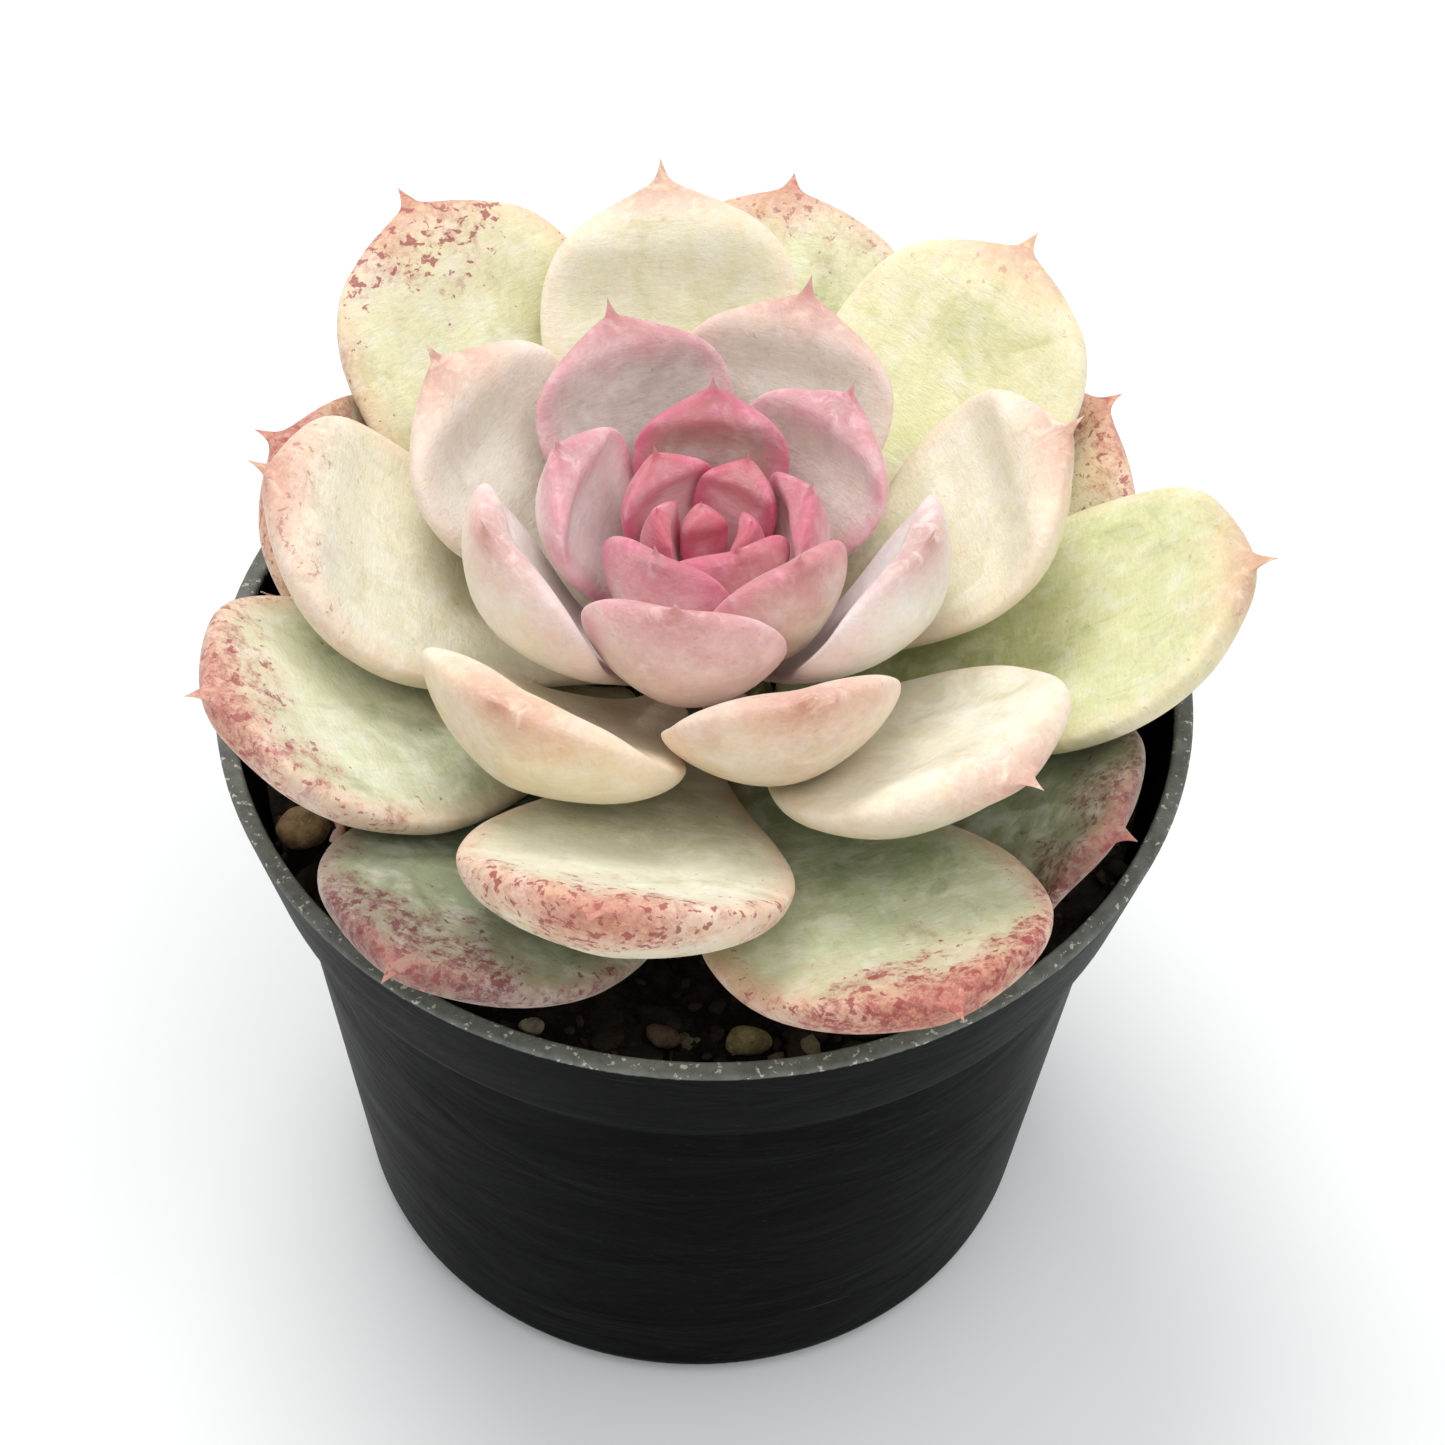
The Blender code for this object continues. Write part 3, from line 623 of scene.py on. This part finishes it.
def leaf_sections(n):
    """Upper and lower points of leaf n, ring by ring and from edge to edge, with what the skin needs."""
    law = leaf_law(n)
    a = law["azimuth"]
    out, side = np.array((math.cos(a), math.sin(a), 0.0)), np.array((-math.sin(a), math.cos(a), 0.0))
    up = np.array((0.0, 0.0, 1.0))
    p0, p1 = np.array(law["base"]), np.array(law["tip"])
    chord = p1 - p0
    length = float(np.hypot(*chord))
    lean = math.atan2(chord[1], chord[0])
    m0 = length * np.array((math.cos(lean - law["dip"]), math.sin(lean - law["dip"])))
    m1 = length * np.array((math.cos(lean + law["curl"]), math.sin(lean + law["curl"])))

    def midrib(s):
        t = min(s, 1.0)
        p = (2 * t**3 - 3 * t**2 + 1) * p0 + (t**3 - 2 * t**2 + t) * m0
        p = p + (3 * t**2 - 2 * t**3) * p1 + (t**3 - t**2) * m1
        d = (6 * t**2 - 6 * t) * p0 + (3 * t**2 - 4 * t + 1) * m0
        d = d + (6 * t - 6 * t**2) * p1 + (3 * t**2 - 2 * t) * m1
        d = d / np.hypot(*d)
        return p + (s - t) * length * d, d

    end = 1 + law["point"] / length
    small = law["width"] / leaf_width
    top, low, facts = [], [], []
    for i in range(rings - 1):
        s = end * (1 - (1 - i / (rings - 1)) ** 1.4)
        p, d = midrib(s)
        x = min(1.0, max(0.0, (s - widest) / (1 - widest)))
        w = 0.5 * (law["base_width"] + (law["width"] - law["base_width"]) * ease(s / widest) ** 0.9)
        w *= math.sqrt(1 - x**2.6) * (1 - 0.45 * max(0.0, (x - 0.72) / 0.28) ** 2)
        t = law["base_thickness"] + (law["thickness"] - law["base_thickness"]) * ease(s / 0.6)
        t *= (1 - x**4) ** 0.5
        past = (s - 1) * length + point_root
        q = min(1.0, max(0.0, past / (law["point"] + point_root)))
        horn = ease(1 + past / 3.0) * (1 - q) ** 1.5
        w = math.hypot(w, (0.7 + 1.5 * small) * horn)
        t = math.hypot(t, (0.5 + 0.9 * small) * horn)
        crown = law["crown"] + (law["tip_crown"] - law["crown"]) * ease((s - 0.7) / 0.25)
        crown += (0.5 - crown) * q
        normal = -d[1] * out + d[0] * up
        level, tilt = math.cos(law["roll"] * s), math.sin(law["roll"] * s)
        across, normal = side * level + normal * tilt, normal * level - side * tilt
        centre = p[0] * out + p[1] * up - normal * (0.6 * law["point"] * q * q)
        row_t, row_l, row_f = [], [], []
        for k in range(half + 1):
            v = math.cos(math.pi * k / half)
            full = math.sin(math.pi * k / half) ** 0.85 if 0 < k < half else 0.0
            face = full ** law["thin_edge"]
            at = centre + across * (w * v) + normal * (law["cup"] * w * v * v * ease(s / 0.5))
            uneven = noise.noise(Vector(at) / 7 + Vector((n * 3.0, 0, 0))) * 0.45
            uneven += noise.noise(Vector(at) / 2.8 + Vector((0, n * 3.0, 0))) * 0.13
            channel = 0.4 * small * math.exp(-((v * w / 1.6) ** 2)) * ease((s - 0.72) / 0.2)
            channel *= 1 - ease((s - 0.97) / 0.03)
            keel = 0.5 * small * math.exp(-((v * w / 2.2) ** 2)) * ease((s - 0.3) / 0.3) * (1 - x)
            swell = full * min(1.0, t)
            row_t.append(at + normal * (crown * t * face + (uneven - channel) * swell))
            row_l.append(at - normal * ((1 - crown) * t * full + (keel + uneven * 0.5) * swell))
            row_f.append((s, w * (1 - abs(v)), max(0.0, (end - s) * length), s * length, w * v, t * full))
        top.append(row_t)
        low.append(row_l)
        facts.append(row_f)
    away = (chord[1] * out - chord[0] * up) / length
    return np.array(top), np.array(low), centre, away, np.array(facts)


# %% [markdown]
# ## Making room
# Neighbouring leaves press on one another as they grow. So the leaves are placed from the bud
# outwards, and each new one feels for the older ones with rays, bends away from the bud where it
# would meet them, and grows thinner where it is pressed. A plain overlap test then confirms the air.


# %% Rays find how far a leaf must give way
ray_lead, ray_length = 90.0, 130.0


def to_tree(points, faces):
    return BVHTree.FromPolygons([Vector(p) for p in points], faces, epsilon=0.0)


def push_needed(tree, top, away, gap):
    need = np.full(top.shape[:2], -99.0)
    d = Vector(away)
    for i in range(top.shape[0]):
        for j in range(top.shape[1]):
            start = Vector(top[i, j]) - ray_lead * d
            gone, last = 0.0, None
            while True:
                hit, _, _, dist = tree.ray_cast(start + gone * d, d, ray_length - gone)
                if hit is None:
                    break
                gone += dist + 0.001
                last = gone
            if last is not None:
                need[i, j] = last - ray_lead + gap
    return need


def spread(need):
    """A smooth push that is nowhere less than what is needed, and dies out towards the stem."""
    push = np.maximum(need, 0.0)
    for _ in range(40):
        pad = np.pad(push, 1, mode="edge")
        mean = (pad[:-2, 1:-1] + pad[2:, 1:-1] + pad[1:-1, :-2] + pad[1:-1, 2:] + 2 * pad[1:-1, 1:-1]) / 6
        mean[0] = 0.0
        push = np.maximum(mean, need)
    return np.maximum(push, 0.0)


# %% A leaf as a sphere with moved points
def leaf_shape(n, top, low, point, facts, nature):
    """The sphere's rings become the leaf's sections; the facts are kept for the skin."""
    shape = bmesh.new()
    floats, vectors = shape.verts.layers.float, shape.verts.layers.float_vector
    layers = {name: floats.new(name) for name in ("along", "rim_mm", "tip_mm", "upper")}
    place = vectors.new("leaf_mm")
    kept = {name: floats.new(name) for name in nature if not isinstance(nature[name], tuple)}
    tints = {name: vectors.new(name) for name in nature if isinstance(nature[name], tuple)}
    bmesh.ops.create_uvsphere(shape, u_segments=around, v_segments=rings, radius=1)
    for vert in shape.verts:
        i = round((1 - math.acos(max(-1, min(1, vert.co.z))) / math.pi) * rings) - 1
        angle = math.atan2(vert.co.y, vert.co.x)
        k = round(abs(angle) / math.pi * half)
        if i < 0:
            at, fact = (top[0].mean(axis=0) + low[0].mean(axis=0)) / 2, facts[0, half // 2]
        elif i > rings - 2:
            at, fact = point, (1, 0, 0, facts[-1, 0, 3], 0, 0)
        else:
            at, fact = (top if angle > -1e-4 else low)[i, k], facts[i, k]
        vert.co = Vector(at) * mm
        for name, value in zip(("along", "rim_mm", "tip_mm"), fact):
            vert[layers[name]] = value
        vert[layers["upper"]] = 0.5 + 0.5 * math.sin(angle)
        vert[place] = Vector((fact[3] + n * 61.0, fact[4], n * 7.0 + fact[5] * math.sin(angle)))
        for name, layer in kept.items():
            vert[layer] = nature[name]
        for name, layer in tints.items():
            vert[layer] = Vector(nature[name])
    return shape


# %% [markdown]
# ## Colour of each leaf
# The heart is deep rose, the young leaves cream and pink, and the old ones sage green with red
# freckles. Sun and age set this, so it's a table by leaf number with a colour for the flesh, one for
# the margin, one for the base, and amounts of blotches and freckles. The base colour and a few darker rows
# also hold painted shade. In between, the laws blend the rows.


# %% Colour table
def tint(red, green, blue):
    """A screen colour in 0 to 255 as the linear light that a shader works with."""
    return tuple(((c / 255 + 0.055) / 1.055) ** 2.4 for c in (red, green, blue))


# leaf: (flesh, margin, deep, blotches, freckles); deep is the colour at the base, its own greener tone
# darkened with painted shade
colours = {
    0: ((248, 176, 192), (222, 100, 136), (246, 198, 200), 0.1, 0.1),
    3: ((240, 186, 190), (216, 96, 132), (242, 204, 198), 0.1, 0.1),
    5: ((242, 198, 198), (222, 112, 146), (236, 198, 192), 0.1, 0.1),
    # Rows 7 to 9 are darker than their neighbours as painted shade: these leaves lie down in the heart, in
    # the shadow of the younger leaves.
    7: ((222, 180, 178), (218, 120, 152), (204, 162, 160), 0.1, 0.15),
    8: ((192, 164, 150), (218, 112, 144), (168, 130, 128), 0.1, 0.15),
    9: ((218, 196, 174), (222, 138, 160), (190, 158, 148), 0.15, 0.2),
    10: ((242, 232, 224), (234, 158, 178), (220, 202, 200), 0.15, 0.2),
    11: ((230, 220, 206), (228, 148, 170), (204, 186, 182), 0.12, 0.2),
    12: ((226, 200, 194), (230, 172, 180), (198, 170, 178), 0.15, 0.25),
    13: ((214, 204, 192), (228, 152, 170), (178, 160, 166), 0.15, 0.2),
    14: ((238, 236, 230), (236, 208, 208), (210, 200, 202), 0.08, 0.2),
    15: ((238, 234, 224), (236, 200, 202), (206, 194, 196), 0.08, 0.2),
    16: ((228, 220, 204), (234, 198, 188), (198, 188, 184), 0.1, 0.3),
    17: ((238, 224, 204), (238, 204, 188), (210, 192, 170), 0.12, 0.3),
    18: ((240, 234, 218), (242, 210, 196), (214, 204, 188), 0.08, 0.25),
    19: ((240, 234, 208), (242, 214, 194), (212, 206, 174), 0.1, 0.3),
    20: ((238, 228, 200), (242, 212, 186), (206, 192, 154), 0.1, 0.3),
    21: ((236, 232, 202), (246, 218, 198), (208, 202, 160), 0.08, 0.25),
    22: ((238, 234, 212), (246, 222, 200), (200, 188, 150), 0.12, 0.3),
    23: ((240, 237, 214), (240, 204, 182), (198, 192, 152), 0.25, 0.6),
    24: ((238, 235, 194), (246, 230, 200), (186, 192, 118), 0.12, 0.4),
    25: ((232, 230, 204), (230, 170, 142), (176, 180, 140), 0.5, 1.0),
    26: ((232, 230, 192), (240, 200, 172), (178, 178, 118), 0.5, 1.0),
    27: ((218, 220, 172), (242, 224, 192), (146, 158, 80), 0.12, 0.4),
    28: ((224, 227, 196), (232, 186, 162), (136, 150, 106), 0.8, 0.9),
    29: ((226, 226, 188), (234, 190, 164), (158, 162, 108), 0.3, 0.7),
    30: ((202, 206, 170), (222, 160, 136), (108, 132, 84), 1.0, 1.0),
    31: ((212, 210, 176), (226, 176, 152), (150, 152, 110), 0.7, 0.9),
    32: ((226, 220, 186), (236, 192, 164), (186, 180, 132), 0.6, 0.9),
    # Rows 33 to 41 keep the sage green of old leaves, but their darkness is painted shade: these lowest
    # leaves lie in shadow under the rosette.
    33: ((154, 162, 132), (156, 124, 114), (88, 100, 72), 1.0, 1.0),
    35: ((144, 152, 118), (134, 106, 94), (80, 92, 62), 0.9, 0.9),
    41: ((142, 148, 112), (160, 116, 106), (70, 84, 54), 0.8, 0.9),
}


def leaf_nature(n):
    """What sets leaf n's skin apart, blended between the rows of the table."""
    keys = sorted(colours)
    rows = [[*(c for screen in colours[k][:3] for c in tint(*screen)), *colours[k][3:]] for k in keys]
    r = [float(np.interp(n, keys, column)) for column in zip(*rows)]
    return {
        "peach": ramp(n, (11, 0), (17, 1)),
        "edging": ramp(n, (0, 0.9), (8, 0.85), (12, 0.6), (20, 0.4), (41, 0.5)),
        "flesh": tuple(r[0:3]), "margin": tuple(r[3:6]), "deep": tuple(r[6:9]),
        "blotch": r[9], "freckle": r[10],
    }


# %% [markdown]
# ## The skin
# A close look shows fine wrinkles across the leaf, as on a fingertip, a powdery wax that dulls the
# shine, a blurred coloured margin, red freckles that gather near the edge and the tip, a few blotches,
# and a brownish point. Veins, creases and wrinkles follow the leaf's own length and width, so they
# bend with it. Freckles, stains and mottling are laid in plain space, which keeps their size on the
# thick margins. The flesh is watery, so a little light travels under the skin.

# %% Leaf skin
leaf = Recipe("leaf_skin")
at = leaf.field("leaf_mm", out="Vector")
flesh, margin, deep = (leaf.field(name, out="Color") for name in ("flesh", "margin", "deep"))
rim, tip, along = leaf.field("rim_mm"), leaf.field("tip_mm"), leaf.field("along")
upper, blotchy, freckled = leaf.field("upper"), leaf.field("blotch"), leaf.field("freckle")
spot = leaf.place()
wide, medium = leaf.grain(spot, 0.09, 4, 0.6), leaf.grain(spot, 0.45, 5, 0.65, 0.6)
fine = leaf.grain(spot, 2.2, 4, 0.65)
near_edge = leaf.fade(rim + (medium - 0.5) * 2, 3.4, 0.0)
near_tip = leaf.fade(tip + (wide - 0.5) * 9 + (medium - 0.5) * 5, 8.0, 1.0)
# Towards the base the flesh turns to the deep colour: partly the base's own greener tone, partly painted
# shade where the base sits down among the other leaves.
shade = leaf.fade(along + (wide - 0.5) * 0.5 + (medium - 0.5) * 0.15, 0.78, 0.25)


def tinted(colour, by):
    return leaf.node("ShaderNodeVectorMath", {"operation": "MULTIPLY"}, {0: colour, 1: by})


colour = leaf.blend(shade * 0.6, flesh, deep)
cream = leaf.fade(leaf.grain(spot, 0.2, 5, 0.65, 0.8), 0.48, 0.66)
colour = leaf.blend(cream * 0.55, colour, tinted(flesh, (1.14, 1.13, 1.18)))
sap = leaf.fade(leaf.grain(spot, 0.13, 5, 0.65, 0.8), 0.50, 0.70)
colour = leaf.blend(sap * 0.45, colour, tinted(deep, (1.0, 1.0, 0.86)))
colour = leaf.blend((near_edge * leaf.field("edging")).most(near_tip * 0.6), colour, margin)
vein = leaf.fade(leaf.grain(leaf.stretch(at, (0.25, 0.8, 1.0)), 1.0, 5, 0.65, 1.0), 0.48, 0.72)
colour = leaf.blend(vein * 0.2, colour, tinted(deep, (0.96, 0.94, 0.9)))
wax = leaf.fade(leaf.grain(spot, 0.33, 5, 0.6, 0.4), 0.44, 0.68)
colour = leaf.blend(wax * 0.3, colour, (0.92, 0.90, 0.88))

# %% Freckles, blotches and the point
drift = leaf.grain(spot, 0.18, 4, 0.7)
place = leaf.fade(rim + (drift - 0.5) * 16, 4.5, 0.0) * leaf.fade(along, 0.5, 0.8) * 0.7
place = place.most(leaf.fade(tip + (drift - 0.5) * 22, 15.0, 3.0))
fleck = leaf.grain(leaf.stretch(spot, (0.8, 0.8, 1.1)), 1.25, 3, 0.6, 0.4)
dot = leaf.fade(fleck + place * freckled * 0.17, 0.70, 0.76) * freckled
patch = leaf.fade(leaf.grain(spot, 0.30, 7, 0.78, 0.6) + place * 0.26, 0.62, 0.78)
patch = patch * leaf.fade(leaf.grain(spot, 1.3, 5, 0.78), 0.36, 0.62) * blotchy
colour = leaf.blend(place * blotchy * 0.4, colour, tinted(margin, (0.85, 0.60, 0.66)))
colour = leaf.blend((patch * 0.9).least(0.85), colour, tinted(margin, (0.46, 0.16, 0.25)))
colour = leaf.blend(dot * 0.8, colour, tinted(margin, (0.40, 0.11, 0.18)))
end_spot = leaf.fade(tip + (medium - 0.5) * 5, 5.2, 1.5) * leaf.fade(medium, 0.32, 0.55)
colour = leaf.blend(end_spot * 0.55, colour, (0.45, 0.14, 0.13))
peach = leaf.fade(upper, 0.45, 0.1) * leaf.field("peach")
colour = leaf.blend(peach * 0.35, colour, tinted(colour, (0.95, 0.85, 0.74)))
blush = leaf.fade(tip + (wide - 0.5) * 8 + (medium - 0.5) * 4, 8.0, 2.0) * leaf.field("peach")
colour = leaf.blend(blush * 0.4, colour, tinted(colour, (0.94, 0.70, 0.54)))
rust = leaf.fade(leaf.grain(spot, 0.14, 4, 0.6, 0.5), 0.46, 0.70)
colour = leaf.blend(peach * rust * 0.5, colour, tinted(colour, (0.96, 0.78, 0.55)))
crease = leaf.fade(leaf.grain(leaf.stretch(at, (2.4, 0.7, 1.0)), 1.0, 4, 0.7, 0.4), 0.50, 0.66)
colour = leaf.blend(crease * freckled * 0.13, colour, tinted(colour, (0.74, 0.76, 0.62)))
colour = leaf.blend(leaf.fade(fine, 0.52, 0.36) * 0.14, colour, tinted(colour, (0.8, 0.76, 0.7)))

# %% Wrinkles and gloss
wrinkle = leaf.grain(leaf.stretch(at, (1.5, 0.6, 1.0)), 1.0, 4, 0.65, 0.3)
groove = leaf.grain(leaf.stretch(at, (0.25, 0.7, 1.0)), 1.0, 3, 0.5, 0.6)
relief = wrinkle * 0.7 - crease * 0.1 + groove * 0.25 + fine * 0.3 + medium * 0.5 - dot * 0.08
normal = leaf.bump(relief, 0.5, 0.3)
rough = wax * 0.16 + fine * 0.12 + 0.42 + dot * 0.05
leaf_skin = leaf.finish(colour, rough, normal, Specular_IOR_Level=0.38, Subsurface_Weight=0.22,
                        Subsurface_Radius=(1.0, 0.55, 0.35), Subsurface_Scale=2.2 * mm, Sheen_Weight=0.08)

# %% [markdown]
# ## Growing the rosette
# Everything is ready, so the leaves are grown from the bud outwards. Each takes the place of its CAD
# body and gets one level of subdivision, which is enough at this size.

# %% Grow every leaf
points_so_far, faces_so_far, trees, leaves = [], [], [], []
for node, n in zip(leaf_nodes, sorted(own)):
    top, low, point, away, facts = leaf_sections(n)
    nature = leaf_nature(n)
    everything = to_tree(points_so_far, faces_so_far) if n else None
    gap = 0.45
    for _ in range(14):
        push = spread(push_needed(everything, top, away, gap)) if n else np.zeros(top.shape[:2])
        give = np.minimum(0.4, 0.12 * push)[:, :, None]
        t2 = top + push[:, :, None] * away
        l2 = low + push[:, :, None] * away + (top - low) * give
        p2 = point + push[-1].mean() * away
        shape = leaf_shape(n, t2, l2, p2, facts, nature)
        corners = [tuple(v.co / mm) for v in shape.verts]
        shape.verts.index_update()
        sides = [[v.index for v in f.verts] for f in shape.faces]
        probe = to_tree([np.array(c) - 0.15 * away for c in corners], sides)
        if not any(probe.overlap(other) for other in trees):
            break
        shape.free()
        gap += 0.2
    trees.append(to_tree(corners, sides))
    start = len(points_so_far)
    points_so_far += corners
    faces_so_far += [[start + k for k in f] for f in sides]
    bmesh.ops.remove_doubles(shape, verts=shape.verts[:], dist=0.0000005)
    leaves.append(finish_piece(f"rosette_{node}", shape, leaf_skin, [node], levels=1))
face_count = sum(len(piece.data.polygons) for piece in leaves)
print("leaves grown:", len(leaves), "with", face_count, "faces before smoothing")
